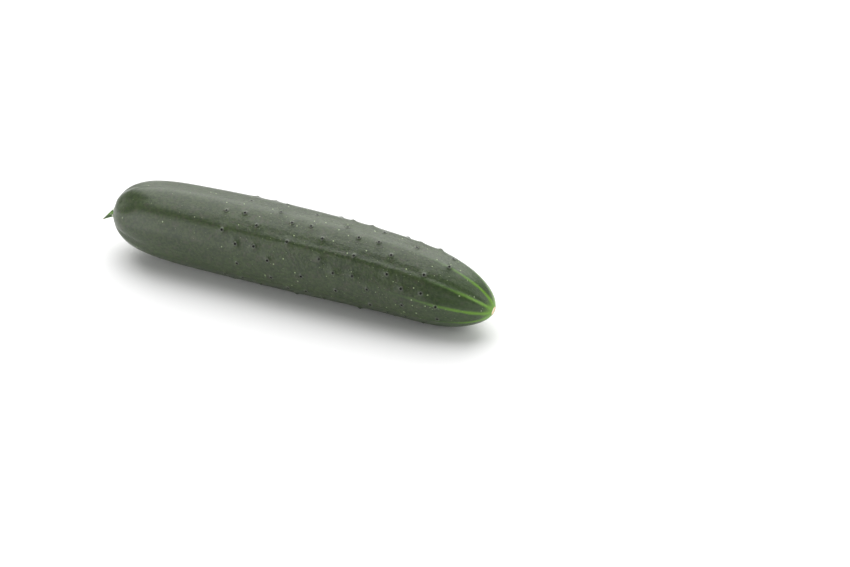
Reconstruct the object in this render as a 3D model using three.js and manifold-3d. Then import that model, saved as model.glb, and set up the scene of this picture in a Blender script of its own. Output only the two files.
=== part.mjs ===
// One fresh slicing cucumber, as picked, lying on its side.
// Millimetres, +Z up. The stem end points to -X and the blossom end to +X.
// The origin is on the surface that the fruit lies on, under the middle of its box.

import * as THREE from "three";
import Module from "manifold-3d";

const wasm = await Module();
wasm.setup();

// The fruit as a whole: how long it is along its middle line, and how thick
const FRUIT_LENGTH = 224;
const FRUIT_RADIUS = 22.6;
const TAPER = 0.144;         // how much thinner the blossom end is, as a share of the radius
const SWELL = 0.178;         // how much fuller the middle is than the two ends
const FLAT_DEPTH = 0.65;     // how far the underside is pressed flat where it lies

// The two blunt ends, as rounded caps. The fuller the cap, the sooner it reaches the body
const STEM_CAP = { length: 50, fullness: 4 };
const BLOSSOM_CAP = { length: 42, fullness: 2.3 };

// The middle line: a slow bend to the side, and a droop of the blossom end. Degrees
const SIDE_BEND = 6.3;
const LYING_TILT = 0.15;
const TIP_DROOP = 8.5;
const DROOP_START = 0.6;     // where along the fruit the droop begins
const LINE_STEPS = 240;

// Low relief of the skin: three soft sides, ten ribs, and creases round the stem
const SIDE_COUNT = 3;
const SIDE_HEIGHT = 0.35;
const SIDE_PHASE = 44;
const RIB_COUNT = 10;
const RIB_HEIGHT = 0.22;
const RIB_PHASE = 8;
const RELIEF_RISE = 0.25;    // share of the length over which sides and ribs rise at the stem end
const RELIEF_FALL = 0.12;    // and over which they fall at the blossom end
const RELIEF_RADIUS = 8;     // the body's radius under which all relief fades away
const CREASE_COUNT = 10;     // one beside each rib, every other one deeper
const CREASE_DEPTH = 1.2;
const CREASE_UNEVEN = 0.35;  // how much shallower or deeper the next one is, as a share
const CREASE_PHASE = 34;
const CREASE_PEAK = 0.05;    // share of the length where the creases are deepest
const CREASE_END = 0.2;      // and where they have faded out
const CREASE_SHARPNESS = 3;  // the higher, the narrower a crease is beside the skin between two

// The hollow round the stem, and the corky scar where the flower fell off
const STEM_DISH_RADIUS = 9;
const STEM_DISH_DEPTH = 1.6;
const SCAR_RADIUS = 2.5;
const SCAR_RIM = 0.35;
const SCAR_RIM_WIDTH = 0.3 * SCAR_RADIUS;
const SCAR_DISH_RADIUS = 1.6 * SCAR_RADIUS;
const SCAR_DISH_DEPTH = 0.7;

// Warts: one low soft cone each, spread evenly over the skin past the smooth neck
const WART_COUNT = 107;
const WART_FIRST = 0.316;    // share of the length where the warts begin
const WART_LAST = 0.913;     // and where they end
const WART_RADIUS = [1.3, 1.9];
const WART_HEIGHT = [0.5, 0.95];
const WART_SIDES = 5;
const WART_ROOT = 0.6;       // how deep its foot is sunk in the skin
const WART_SHOULDER = { radius: 0.45, height: 0.78 };   // as shares of its radius and height
const WART_CLEARANCE = 1.6;  // none grows lower than this above the surface it lies on
// From one wart to the next, the steps of the sequence that spreads points most evenly
const EVEN_ALONG = { start: 0.825, step: 0.7548776662 };
const EVEN_AROUND = { start: 0.347, step: 0.569840291 };
const EVEN_SIZE = { start: 0, step: 0.6180339887 };

// The stem stub: five-ribbed, bent down and to the front, and cut off slantwise
const STEM_RADIUS = 1.9;
const STEM_FLARE = 0.7;
const STEM_FLARE_END = 0.55;  // share of its curve where the flare at the root has gone
const STEM_RIBS = 5;
const STEM_RIB_HEIGHT = 0.2;
const STEM_ROOT = 2.6;       // how deep its root sits in the fruit
const STEM_BEND = new THREE.Vector3(-2.6, -0.8, -0.9);    // from the fruit's pole to the bend
const STEM_LEAN = new THREE.Vector3(-0.84, -0.39, -0.37);  // the way it runs past the bend
const STEM_REACH = 10;       // length past the bend, before the slant cut
const STEM_CUT_AT = 3.6;     // where past the bend the cut crosses its middle line
const STEM_CUT_FACING = new THREE.Vector3(-0.74, 0, 0.67);
const CUT_BLOCK = 20;        // size of the block that makes the cut
const GAP = 0.3;             // clearance between the stub and its socket

// A small step along the skin and round it, for the directions in which a wart stands
const NEARBY = { share: 0.005, angle: 0.05 };

// How finely the surfaces are divided
const FRUIT_SECTORS = 54;
const FRUIT_RINGS = 56;
const STEM_SECTORS = 20;
const STEM_RINGS = 7;

const radians = THREE.MathUtils.degToRad;

function smooth(t) {
  return THREE.MathUtils.smoothstep(t, 0, 1);
}

// The value of an even sequence at an index, from 0 up to 1
function even(sequence, index) {
  const value = sequence.start + index * sequence.step;
  return value - Math.floor(value);
}

// Which way the middle line runs at a share of its length
function lineDirection(share) {
  const heading = radians(SIDE_BEND * (share - 0.5));
  const droop = radians(LYING_TILT + TIP_DROOP * smooth((share - DROOP_START) / (1 - DROOP_START)));
  return new THREE.Vector3(
    Math.cos(heading) * Math.cos(droop),
    -Math.sin(heading) * Math.cos(droop),
    -Math.sin(droop),
  );
}

function buildMiddleLine() {
  const points = [new THREE.Vector3()];
  for (let step = 0; step < LINE_STEPS; step += 1) {
    const direction = lineDirection((step + 0.5) / LINE_STEPS);
    points.push(points[step].clone().addScaledVector(direction, FRUIT_LENGTH / LINE_STEPS));
  }
  return points;
}

const middleLine = buildMiddleLine();

function linePoint(share) {
  const place = share * LINE_STEPS;
  const step = Math.min(Math.floor(place), LINE_STEPS - 1);
  return middleLine[step].clone().lerp(middleLine[step + 1], place - step);
}

// Rounded cap: 0 at the pole, growing to 1 at the cap's own length
function capShape(distance, cap) {
  const left = Math.max(1 - distance / cap.length, 0);
  return Math.sqrt(1 - Math.pow(left, cap.fullness));
}

function bodyRadius(share) {
  const offCentre = share - 0.5;
  const body = 1 - TAPER * offCentre - SWELL * 4 * offCentre * offCentre;
  const stemCap = capShape(share * FRUIT_LENGTH, STEM_CAP);
  const blossomCap = capShape((1 - share) * FRUIT_LENGTH, BLOSSOM_CAP);
  return FRUIT_RADIUS * body * stemCap * blossomCap;
}

// Height of the ribs, sides and creases above the round body
function skinRelief(share, angle) {
  const body = smooth(share / RELIEF_RISE) * smooth((1 - share) / RELIEF_FALL);
  const sides = SIDE_HEIGHT * Math.cos(SIDE_COUNT * (angle - radians(SIDE_PHASE)));
  const ribs = RIB_HEIGHT * Math.cos(RIB_COUNT * (angle - radians(RIB_PHASE)));
  const rise = smooth(share / CREASE_PEAK);
  const fall = 1 - smooth((share - CREASE_PEAK) / (CREASE_END - CREASE_PEAK));
  const turn = angle - radians(CREASE_PHASE);
  const groove = Math.pow(0.5 + 0.5 * Math.cos(CREASE_COUNT * turn), CREASE_SHARPNESS);
  const depth = CREASE_DEPTH * (1 - CREASE_UNEVEN + CREASE_UNEVEN * Math.cos((CREASE_COUNT / 2) * turn));
  return body * (sides + ribs) - depth * rise * fall * groove;
}

// How far the skin sinks along the middle line: the stem's hollow and the blossom scar
function stemDish(radius) {
  return STEM_DISH_DEPTH * (1 - smooth(radius / STEM_DISH_RADIUS));
}

function scarDish(radius) {
  const hollow = SCAR_DISH_DEPTH * (1 - smooth(radius / SCAR_DISH_RADIUS));
  const rim = SCAR_RIM * Math.exp(-Math.pow((radius - SCAR_RADIUS) / SCAR_RIM_WIDTH, 2));
  return hollow - rim;
}

// A point of the skin before it is pressed flat, with its place still under the line's start
function skinPoint(share, angle) {
  const along = lineDirection(share);
  const side = new THREE.Vector3(0, 0, 1).cross(along).normalize();
  const up = along.clone().cross(side);
  const round = bodyRadius(share);
  const radius = round + skinRelief(share, angle) * smooth(round / RELIEF_RADIUS);
  const sink = share < 0.5 ? stemDish(round) : -scarDish(round);
  return linePoint(share)
    .addScaledVector(up, radius * Math.cos(angle))
    .addScaledVector(side, -radius * Math.sin(angle))
    .addScaledVector(along, sink);
}

// Shares of the length where the rings lie: close together at both poles
function ringShares() {
  const shares = [];
  for (let ring = 1; ring < FRUIT_RINGS; ring += 1) {
    shares.push(0.5 - 0.5 * Math.cos((Math.PI * ring) / FRUIT_RINGS));
  }
  return shares;
}

function circleAngles(count) {
  return Array.from({ length: count }, (_, index) => (2 * Math.PI * index) / count);
}

// A closed solid over rings of points, from one pole to the other
function loft(firstPole, rings, lastPole) {
  const sectors = rings[0].length;
  const points = [firstPole, ...rings.flat(), lastPole];
  const at = (ring, sector) => 1 + ring * sectors + (sector % sectors);
  const last = rings.length - 1;
  const triangles = [];
  for (let sector = 0; sector < sectors; sector += 1) {
    triangles.push(0, at(0, sector + 1), at(0, sector));
    for (let ring = 0; ring < last; ring += 1) {
      triangles.push(at(ring, sector), at(ring, sector + 1), at(ring + 1, sector));
      triangles.push(at(ring, sector + 1), at(ring + 1, sector + 1), at(ring + 1, sector));
    }
    triangles.push(points.length - 1, at(last, sector), at(last, sector + 1));
  }
  const mesh = new wasm.Mesh({
    numProp: 3,
    vertProperties: new Float32Array(points.flatMap((point) => point.toArray())),
    triVerts: new Uint32Array(triangles),
  });
  return new wasm.Manifold(mesh);
}

function toMesh(name, solid, material) {
  const { vertProperties, triVerts } = solid.getMesh();
  const geometry = new THREE.BufferGeometry();
  geometry.setAttribute("position", new THREE.BufferAttribute(vertProperties, 3));
  geometry.setIndex(new THREE.BufferAttribute(triVerts, 1));
  geometry.computeVertexNormals();
  const mesh = new THREE.Mesh(geometry, material);
  mesh.name = name;
  return mesh;
}

// Height of the lowest skin point before pressing, so that the flat spot comes out at zero
const angles = circleAngles(FRUIT_SECTORS);
const skinRings = ringShares().map((share) => angles.map((angle) => skinPoint(share, angle)));
const lowest = Math.min(...skinRings.flat().map((point) => point.z));
const lift = -lowest - FLAT_DEPTH;

function press(point) {
  return new THREE.Vector3(point.x, point.y, Math.max(point.z + lift, 0));
}

function buildSkin() {
  return loft(press(skinPoint(0, 0)), skinRings.map((ring) => ring.map(press)), press(skinPoint(1, 0)));
}

// Where wart number index grows, and how large it is
function wartPlace(index) {
  const share = THREE.MathUtils.lerp(WART_FIRST, WART_LAST, even(EVEN_ALONG, index));
  const angle = 2 * Math.PI * even(EVEN_AROUND, index);
  return { share, angle, size: even(EVEN_SIZE, index) };
}

function buildWart({ share, angle, size }) {
  const centre = press(skinPoint(share, angle));
  const alongSkin = press(skinPoint(share + NEARBY.share, angle)).sub(centre).normalize();
  const aroundSkin = press(skinPoint(share, angle + NEARBY.angle)).sub(centre).normalize();
  const out = aroundSkin.clone().cross(alongSkin).normalize();
  const across = out.clone().cross(alongSkin);
  const radius = THREE.MathUtils.lerp(...WART_RADIUS, size);
  const height = THREE.MathUtils.lerp(...WART_HEIGHT, size);
  const shoulderRadius = radius * WART_SHOULDER.radius;
  const shoulderHeight = height * WART_SHOULDER.height;
  // The cone's side runs on under the skin at the same slope, down to its sunk foot
  const footRadius = radius + (WART_ROOT * (radius - shoulderRadius)) / shoulderHeight;
  const spot = (distance, turn, level) => centre.clone()
    .addScaledVector(alongSkin, distance * Math.cos(turn))
    .addScaledVector(across, distance * Math.sin(turn))
    .addScaledVector(out, level);
  const turns = circleAngles(WART_SIDES);
  const foot = turns.map((turn) => spot(footRadius, turn, -WART_ROOT));
  const shoulder = turns.map((turn) => spot(shoulderRadius, turn, shoulderHeight));
  return loft(spot(0, 0, -WART_ROOT), [foot, shoulder], spot(0, 0, height));
}

function wartPlaces() {
  const places = Array.from({ length: WART_COUNT }, (_, index) => wartPlace(index));
  return places.filter(({ share, angle }) => press(skinPoint(share, angle)).z > WART_CLEARANCE);
}

// The stub's middle line, from its root in the fruit to past its cut end
function stemCurve(rootDepth) {
  const pole = press(skinPoint(0, 0));
  const out = lineDirection(0).negate();
  const start = pole.clone().addScaledVector(out, -rootDepth);
  const bend = pole.clone().add(STEM_BEND);
  const end = bend.clone().addScaledVector(STEM_LEAN.clone().normalize(), STEM_REACH);
  return new THREE.QuadraticBezierCurve3(start, bend, end);
}

// The stub's rod, or with growth above zero the room that it needs in the fruit
function buildStemRod(growth) {
  const curve = stemCurve(STEM_ROOT + growth);
  const rings = [];
  for (let ring = 0; ring <= STEM_RINGS; ring += 1) {
    const t = ring / STEM_RINGS;
    const centre = curve.getPoint(t);
    const out = curve.getTangent(t);
    const side = new THREE.Vector3(0, 0, 1).cross(out).normalize();
    const up = out.clone().cross(side);
    const flare = STEM_FLARE * (1 - smooth(t / STEM_FLARE_END));
    rings.push(circleAngles(STEM_SECTORS).map((angle) => {
      const rib = STEM_RIB_HEIGHT * Math.cos(STEM_RIBS * angle);
      const radius = STEM_RADIUS + flare + rib + growth;
      return centre.clone()
        .addScaledVector(up, radius * Math.cos(angle))
        .addScaledVector(side, -radius * Math.sin(angle));
    }));
  }
  return loft(curve.getPoint(0), rings, curve.getPoint(1));
}

// A block that takes away all of the rod past the slant cut
function buildStemCut() {
  const pole = press(skinPoint(0, 0));
  const centre = pole.add(STEM_BEND).addScaledVector(STEM_LEAN.clone().normalize(), STEM_CUT_AT);
  const facing = STEM_CUT_FACING.clone().normalize();
  const turn = new THREE.Quaternion().setFromUnitVectors(new THREE.Vector3(0, 0, 1), facing);
  const corner = (x, y, z) => new THREE.Vector3(x, y, z)
    .multiplyScalar(CUT_BLOCK)
    .applyQuaternion(turn)
    .add(centre);
  const square = (z) => [corner(1, 1, z), corner(-1, 1, z), corner(-1, -1, z), corner(1, -1, z)];
  return loft(corner(0, 0, 0), [square(0), square(1)], corner(0, 0, 1));
}

const warts = wartPlaces().map(buildWart);
const fruitSolid = wasm.Manifold.union([buildSkin(), ...warts]).subtract(buildStemRod(GAP));
const stemSolid = buildStemRod(0).subtract(buildStemCut());

const skinMaterial = new THREE.MeshStandardMaterial({ color: 0x3a4b33, roughness: 0.42, metalness: 0 });
const stemMaterial = new THREE.MeshStandardMaterial({ color: 0x6c9336, roughness: 0.6, metalness: 0 });

const cucumber = new THREE.Group();
cucumber.add(toMesh("fruit", fruitSolid, skinMaterial));
cucumber.add(toMesh("stem_stub", stemSolid, stemMaterial));

// Put the middle of the whole object's box over the origin
const box = new THREE.Box3().setFromObject(cucumber, true);
const middle = box.getCenter(new THREE.Vector3());
cucumber.position.set(-middle.x, -middle.y, 0);

export default cucumber;
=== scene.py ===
# %% [markdown]
# A cucumber, cell by cell
# The real thing is one fresh slicing cucumber with the last of its stem still on it. Its two solids were
# drawn and packed beforehand, and this file gives them their looks. A material alone could dress a solid,
# but a fine skin needs more points than a packed solid holds. So each solid is replaced by a finer piece
# that follows the same rule and fills the same place.

# %% Load the packed solids
import math

import bmesh
import bpy
from mathutils import Matrix, Vector


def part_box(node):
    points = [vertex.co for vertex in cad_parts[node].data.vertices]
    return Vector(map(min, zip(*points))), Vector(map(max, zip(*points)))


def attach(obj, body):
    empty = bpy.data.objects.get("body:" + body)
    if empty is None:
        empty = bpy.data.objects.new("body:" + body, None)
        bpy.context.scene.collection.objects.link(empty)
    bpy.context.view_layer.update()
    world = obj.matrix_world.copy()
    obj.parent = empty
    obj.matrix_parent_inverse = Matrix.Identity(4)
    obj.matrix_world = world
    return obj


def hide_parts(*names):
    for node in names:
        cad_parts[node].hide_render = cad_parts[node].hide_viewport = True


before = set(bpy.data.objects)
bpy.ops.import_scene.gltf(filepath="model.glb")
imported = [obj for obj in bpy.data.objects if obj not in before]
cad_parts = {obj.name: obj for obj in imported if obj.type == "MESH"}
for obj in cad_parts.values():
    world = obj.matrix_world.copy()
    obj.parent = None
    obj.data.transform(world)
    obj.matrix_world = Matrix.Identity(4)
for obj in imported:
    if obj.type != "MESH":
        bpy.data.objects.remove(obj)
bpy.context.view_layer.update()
MM = 0.001


def in_mm(point):
    return tuple(round(value / MM, 2) for value in point)


# %% [markdown]
# The camera
# A camera could be placed by eye, but a fitted one saves the guessing. The fruit's outline was traced, and
# the camera's direction and aim were solved together with the fruit's bend. The camera is named by its
# direction round the object, its height above the horizon and its distance from the point it looks at.

# %% Place the camera
CAMERA_AZIMUTH = math.radians(22.7)
CAMERA_ELEVATION = math.radians(35)
CAMERA_DISTANCE = 1.182
CAMERA_AIM = Vector((0.0748, -0.0002, 0.020))
SENSOR_WIDTH = 36  # both in millimetres, as on a full-frame camera
FOCAL_LENGTH = 95


def direction(azimuth, elevation):
    level = math.cos(elevation)
    return Vector((math.sin(azimuth) * level, -math.cos(azimuth) * level, math.sin(elevation)))


def aim(thing, place, target):
    thing.location = place
    thing.rotation_mode = "QUATERNION"
    thing.rotation_quaternion = (place - target).to_track_quat("Z", "Y")


camera_data = bpy.data.cameras.new("camera")
camera_data.sensor_width = SENSOR_WIDTH
camera_data.lens = FOCAL_LENGTH
camera = bpy.data.objects.new("camera", camera_data)
bpy.context.scene.collection.objects.link(camera)
aim(camera, CAMERA_AIM + direction(CAMERA_AZIMUTH, CAMERA_ELEVATION) * CAMERA_DISTANCE, CAMERA_AIM)
bpy.context.scene.camera = camera
print("camera at", in_mm(camera.location))

# %% [markdown]
# The floor
# The fruit lies on a white studio table. A curved backdrop would do as well, but one large square fills the
# camera's whole view. It isn't part of the object.

# %% Lay the floor
FLOOR_HALF = 4.0
FLOOR_WHITE = (0.92, 0.92, 0.92, 1)
FLOOR_ROUGHNESS = 0.8

corners = [(x * FLOOR_HALF, y * FLOOR_HALF, 0) for x, y in ((-1, -1), (1, -1), (1, 1), (-1, 1))]
floor_mesh = bpy.data.meshes.new("floor")
floor_mesh.from_pydata(corners, [], [(0, 1, 2, 3)])
floor = bpy.data.objects.new("floor", floor_mesh)
bpy.context.scene.collection.objects.link(floor)
floor_finish = bpy.data.materials.new("studio_table")
floor_finish.use_nodes = True
floor_shader = floor_finish.node_tree.nodes["Principled BSDF"]
floor_shader.inputs["Base Color"].default_value = FLOOR_WHITE
floor_shader.inputs["Roughness"].default_value = FLOOR_ROUGHNESS
floor_mesh.materials.append(floor_finish)
print("the floor is", 2 * FLOOR_HALF, "m wide")

# %% [markdown]
# The light
# A white world alone would light the fruit from everywhere and leave it flat. So the world is only a weak
# fill. A wide panel over and behind the fruit gives the long pale gleam on its upper side. A low panel in
# front of the stem end lights the side that faces the camera, and its light falls off towards the blossom
# end. A third, weak one lights the tip.

# %% Hang the lights
OVER_AND_BEHIND = direction(math.radians(-157), math.radians(56))
OVER_DISTANCE = 1.5
FILL_WHITE = (1, 1, 1, 1)
FILL_STRENGTH = 0.27


def add_area_light(name, place, target, width, depth, power):
    """A soft panel that shines at its target; its sides are in metres and its power in watts."""
    light = bpy.data.lights.new(name, "AREA")
    light.shape = "RECTANGLE"
    light.size = width
    light.size_y = depth
    light.energy = power
    thing = bpy.data.objects.new(name, light)
    bpy.context.scene.collection.objects.link(thing)
    aim(thing, Vector(place), Vector(target))
    thing.visible_camera = False


add_area_light("over_panel", OVER_AND_BEHIND * OVER_DISTANCE, (0, 0, 0), width=2.4, depth=2.5, power=50)
add_area_light("front_panel", (-0.45, -0.45, 0.15), (-0.10, 0, 0.02), width=0.6, depth=0.34, power=1.6)
add_area_light("tip_panel", (0.55, 0.05, 0.25), (0.10, 0, 0.02), width=0.4, depth=0.4, power=0.9)

world = bpy.data.worlds.new("studio")
bpy.context.scene.world = world
world.use_nodes = True
world.node_tree.nodes["Background"].inputs["Color"].default_value = FILL_WHITE
world.node_tree.nodes["Background"].inputs["Strength"].default_value = FILL_STRENGTH
bpy.context.scene.view_settings.view_transform = "Standard"
lamps = [thing.name for thing in bpy.data.objects if thing.type == "LIGHT"]
print("lights:", lamps)

# %% [markdown]
# Node trees as sums
# Geometry and materials both come from node trees here. Nodes could be added and joined one by one, but a
# long formula is hard to read that way. So a small class wraps one socket and lets Python's own signs add
# the Math nodes. Every other node comes from one method, which takes its type, its settings and what goes
# into its sockets.

# %% A socket that can stand in a sum
class Wire:
    """One output socket of a node tree."""

    def __init__(self, board, socket):
        self.board = board
        self.socket = socket

    def __add__(self, other):
        return maths("ADD", self, other)

    def __radd__(self, other):
        return maths("ADD", other, self)

    def __sub__(self, other):
        return maths("SUBTRACT", self, other)

    def __rsub__(self, other):
        return maths("SUBTRACT", other, self)

    def __mul__(self, other):
        return maths("MULTIPLY", self, other)

    def __rmul__(self, other):
        return maths("MULTIPLY", other, self)

    def __truediv__(self, other):
        return maths("DIVIDE", self, other)

    def __pow__(self, other):
        return maths("POWER", self, other)

    def __neg__(self):
        return maths("MULTIPLY", self, -1)


print("a wire can be used with + - * / and **")

# %% A board to put nodes on
class Board:
    """A node tree, with one method that adds a node to it."""

    def __init__(self, tree):
        self.tree = tree

    def add(self, kind, settings=None, *ordered, **named):
        node = self.tree.nodes.new(kind)
        for name, value in (settings or {}).items():
            setattr(node, name, value)
        places = [socket for socket in node.inputs if socket.enabled]
        for socket, item in zip(places, ordered):
            self.plug(item, socket)
        for name, item in named.items():
            wanted = name.replace("_", " ")
            self.plug(item, next(socket for socket in places if socket.name == wanted))
        return {socket.name: Wire(self, socket) for socket in node.outputs if socket.enabled}

    def plug(self, item, socket):
        if isinstance(item, Wire):
            self.tree.links.new(item.socket, socket)
        elif socket.type == "RGBA":
            socket.default_value = (*item, 1)
        elif socket.type == "VECTOR" and not hasattr(item, "__len__"):
            socket.default_value = (item, item, item)
        else:
            socket.default_value = item


print("a board can", [name for name in vars(Board) if not name.startswith("_")])


# %% The sums themselves
def is_vector(item):
    return item.socket.type == "VECTOR" if isinstance(item, Wire) else hasattr(item, "__len__")


def board_of(items):
    return next(item.board for item in items if isinstance(item, Wire))


def maths(operation, *items):
    kind = "ShaderNodeVectorMath" if any(map(is_vector, items)) else "ShaderNodeMath"
    outputs = board_of(items).add(kind, {"operation": operation}, *items)
    return next(iter(outputs.values()))


def cosine(angle):
    return maths("COSINE", angle)


def sine(angle):
    return maths("SINE", angle)


def combine(*parts):
    return board_of(parts).add("ShaderNodeCombineXYZ", None, *parts)["Vector"]


def split(vector):
    parts = vector.board.add("ShaderNodeSeparateXYZ", None, vector)
    return parts["X"], parts["Y"], parts["Z"]


print("sums are ready")

# %% [markdown]
# Three soft shapes
# Nearly everything on a grown thing has a soft edge. Each could get its own curve, but three shapes do for
# all of them here: a bell, a smooth step from 0 to 1, and noise.

# %% Bell, step and noise
def hill(value, width):
    """1 at zero, and a soft bell that falls to almost nothing at twice its width."""
    return maths("EXPONENT", -(value / width) ** 2)


def smooth(value, start, end):
    """0 at start, 1 at end, and a soft rise between them."""
    settings = {"interpolation_type": "SMOOTHSTEP"}
    step = value.board.add("ShaderNodeMapRange", settings, Value=value, From_Min=start, From_Max=end)
    return step["Result"]


def noise(place, scale, detail=2, roughness=0.5):
    """Soft noise from about -0.5 to 0.5, with so many waves to the unit of its place."""
    return place.board.add("ShaderNodeTexNoise", None, Vector=place, Scale=scale, Detail=detail,
                           Roughness=roughness)["Fac"] - 0.5


print("soft shapes:", [shape.__name__ for shape in (hill, smooth, noise)])

# %% [markdown]
# A geometry tree with named sizes
# A tree could hold its numbers inside its nodes. Named inputs are better, because the modifier then shows
# the sizes that matter and they can be tried out by hand. An input is set by its identifier, since two
# inputs may share a name. The result is kept as a plain mesh, which needs no modifier.

# %% Start and end a tree
SOCKET_KINDS = {int: "NodeSocketInt", float: "NodeSocketFloat", tuple: "NodeSocketVector"}


def new_tree(name, sizes):
    """A geometry tree on a board, with one named input for each size."""
    tree = bpy.data.node_groups.new(name, "GeometryNodeTree")
    tree.interface.new_socket("Geometry", in_out="OUTPUT", socket_type="NodeSocketGeometry")
    for label, value in sizes.items():
        tree.interface.new_socket(label, in_out="INPUT", socket_type=SOCKET_KINDS[type(value)])
    board = Board(tree)
    return board, board.add("NodeGroupInput")


def finish_tree(board, geometry, material):
    """Ends a tree: smooth shading, no instances, and the material."""
    geometry = board.add("GeometryNodeSetShadeSmooth", None, Geometry=geometry)["Geometry"]
    geometry = board.add("GeometryNodeRealizeInstances", None, Geometry=geometry)["Geometry"]
    geometry = board.add("GeometryNodeSetMaterial", None, Geometry=geometry, Material=material)["Geometry"]
    board.add("NodeGroupOutput", None, Geometry=geometry)


print("a tree takes sizes of", [kind.__name__ for kind in SOCKET_KINDS])


# %% Run a tree
def run_tree(board, sizes, name):
    """Runs a tree on an empty mesh and keeps the result as a plain mesh."""
    thing = bpy.data.objects.new(name, bpy.data.meshes.new(name))
    bpy.context.scene.collection.objects.link(thing)
    modifier = thing.modifiers.new(name, "NODES")
    modifier.node_group = board.tree
    for item in board.tree.interface.items_tree:
        if item.in_out == "INPUT":
            modifier[item.identifier] = sizes[item.name]
    depsgraph = bpy.context.evaluated_depsgraph_get()
    made = bpy.data.meshes.new_from_object(
        thing.evaluated_get(depsgraph), preserve_all_data_layers=True, depsgraph=depsgraph)
    thing.modifiers.clear()
    thing.data = made
    made.name = name
    return thing


print("trees can be made")

# %% [markdown]
# The middle line
# A cucumber hangs from the vine and grows along a slow curve. A Bezier curve could draw it by hand. Here
# the line follows a rule: its direction turns evenly to one side, and droops towards the blossom end. Small
# steps in that direction are added up, which the Accumulate Field node does.

# %% Sizes and the middle line
fruit_sizes = {
    "Length": 224 * MM,
    "Radius": 22.6 * MM,
    "Taper": 0.144,
    "Swell": 0.178,
    "Side bend": math.radians(6.3),
    "Tip droop": math.radians(8.5),
    "Flat depth": 0.65 * MM,
    "Rings": 424,
    "Sectors": 232,
    "Warts": 107,
}
LYING_TILT = math.radians(0.15)
DROOP_START = 0.6
LINE_STEPS = 240
fruit, size = new_tree("cucumber_skin", fruit_sizes)


def line_angles(share):
    heading = size["Side bend"] * (share - 0.5)
    droop = LYING_TILT + size["Tip droop"] * smooth(share, DROOP_START, 1)
    return heading, droop


def way_along(share):
    heading, droop = line_angles(share)
    level = cosine(droop)
    return combine(cosine(heading) * level, -(sine(heading) * level), -sine(droop))


def middle_line():
    """The middle line as a curve of small equal steps."""
    index = fruit.add("GeometryNodeInputIndex")["Index"]
    step = way_along((index + 0.5) / LINE_STEPS) * (size["Length"] / LINE_STEPS)
    walked = fruit.add("GeometryNodeAccumulateField", {"data_type": "FLOAT_VECTOR"}, step)["Trailing"]
    dots = fruit.add("GeometryNodeMeshLine", None, Count=LINE_STEPS + 1, Offset=0)["Mesh"]
    dots = fruit.add("GeometryNodeSetPosition", None, Geometry=dots, Position=walked)["Geometry"]
    return fruit.add("GeometryNodeMeshToCurve", None, Mesh=dots)["Curve"]


line = middle_line()
print("the middle line has", LINE_STEPS, "steps")

# %% [markdown]
# How thick the fruit is
# The body is a long barrel, fuller in the middle and thinner at the blossom end, with a rounded cap at each
# end. It could be sculpted, but a formula keeps its shape when the sizes change.

# %% Radius of the body
STEM_CAP = {"length": 50 * MM, "fullness": 4}
BLOSSOM_CAP = {"length": 42 * MM, "fullness": 2.3}


def cap(distance, length, fullness):
    """How far a rounded end has opened: 0 at its pole, and 1 from its length on."""
    left = maths("MAXIMUM", 1 - distance / length, 0)
    return maths("SQRT", 1 - left ** fullness)


def body_radius(share):
    off = share - 0.5
    body = 1 - size["Taper"] * off - size["Swell"] * 4 * off * off
    stem_cap = cap(share * size["Length"], **STEM_CAP)
    blossom_cap = cap((1 - share) * size["Length"], **BLOSSOM_CAP)
    return size["Radius"] * body * stem_cap * blossom_cap


print("the caps are", STEM_CAP["length"] / MM, "and", BLOSSOM_CAP["length"] / MM, "mm long")

# %% [markdown]
# Sides, ribs and creases
# The skin is not quite round. It has three soft sides and ten low ribs, and creases run out from the hollow
# round the stem. Each could be drawn as a line, but waves round the body give all of them: three to a turn
# for the sides and ten for the ribs. A power of such a wave leaves the narrow grooves of the creases. Where
# a broad dimple will lie beside the stem, the creases are nearly left out.

# %% Relief of the skin
FULL_TURN = 2 * math.pi
SIDE_COUNT = 3
SIDE_HEIGHT = 0.35 * MM
SIDE_PHASE = math.radians(44)
RIB_COUNT = 10
RIB_HEIGHT = 0.22 * MM
RIB_TURN = 8 / 360  # where the first rib's crest lies, as a share of a full turn
RELIEF_RISE = 0.25  # the share of the length where sides and ribs have their full height
RELIEF_FALL = 0.88  # and the share from which they fade again
CREASE = {"depth": 1.2 * MM, "phase": math.radians(34), "sharpness": 3, "peak": 0.05, "end": 0.2}
CREASE_UNEVEN = 0.35  # half of what every second crease lacks in depth
CREASE_LEFT = 0.15  # how much of a crease is left inside the broad dimple
DIMPLE = {"turn": 36 / 360, "width": 18 / 360, "depth": 1.5 * MM, "peak": 0.035, "end": 0.125}


def turn_from(turn, middle):
    """The short way round from a middle line to a point, as a share of a full turn."""
    way = turn - middle
    return way - maths("ROUND", way)


def crease_depth(share, angle):
    """The depth of the creases, less near the middle of the dimple."""
    around = angle - CREASE["phase"]
    groove = (0.5 + 0.5 * cosine(RIB_COUNT * around)) ** CREASE["sharpness"]
    depth = CREASE["depth"] * (1 - CREASE_UNEVEN + CREASE_UNEVEN * cosine(RIB_COUNT / 2 * around))
    to_dimple = turn_from(angle / FULL_TURN, DIMPLE["turn"])
    depth = depth * (1 - (1 - CREASE_LEFT) * hill(to_dimple, DIMPLE["width"]))
    return depth * smooth(share, 0, CREASE["peak"]) * smooth(share, CREASE["end"], CREASE["peak"]) * groove


def skin_relief(share, angle):
    """How far the skin stands out from the round body."""
    body = smooth(share, 0, RELIEF_RISE) * smooth(share, 1, RELIEF_FALL)
    sides = SIDE_HEIGHT * cosine(SIDE_COUNT * (angle - SIDE_PHASE))
    ribs = RIB_HEIGHT * cosine(RIB_COUNT * (angle - RIB_TURN * FULL_TURN))
    return body * (sides + ribs) - crease_depth(share, angle)


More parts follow.
